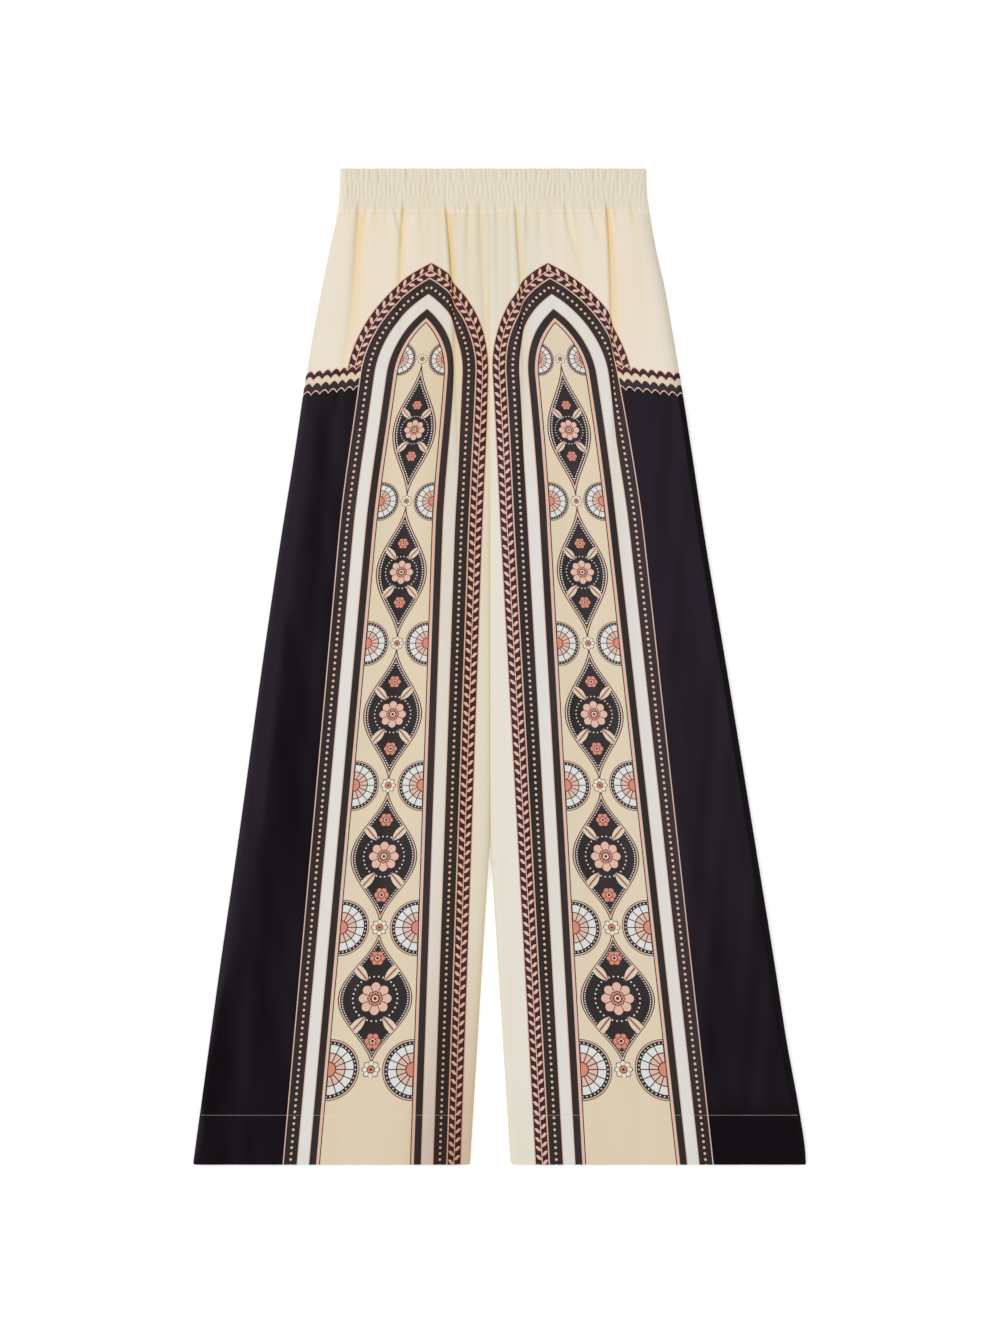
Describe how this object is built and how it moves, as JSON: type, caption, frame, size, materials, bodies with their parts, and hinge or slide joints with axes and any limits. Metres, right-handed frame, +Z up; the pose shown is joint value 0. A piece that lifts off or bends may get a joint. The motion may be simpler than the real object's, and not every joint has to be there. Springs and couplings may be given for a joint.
{
  "type": "palazzo pants",
  "caption": "Wide-leg pull-on trousers with a gathered elastic waist, laid flat: front and back leg panels and a stitched waistband casing.",
  "frame": {"origin": "on the surface that the trousers lie on, under the middle of their outline", "axes": "+X to the wearer's left, +Y up to the waist, +Z up, out of the front"},
  "size_m": [0.656, 1.066, 0.0077],
  "materials": {
    "leg_cloth": "smooth silk twill with a soft low sheen, printed in cream, plum-black, charcoal, white, sand and blush",
    "waist_cloth": "the same silk twill in plain cream, gathered over elastic"
  },
  "bodies": {
    "root": {"right_leg_front": "leg_cloth", "left_leg_front": "leg_cloth", "right_leg_back": "leg_cloth", "left_leg_back": "leg_cloth", "waistband_front": "waist_cloth", "waistband_back": "waist_cloth"}
  },
  "joints": []
}
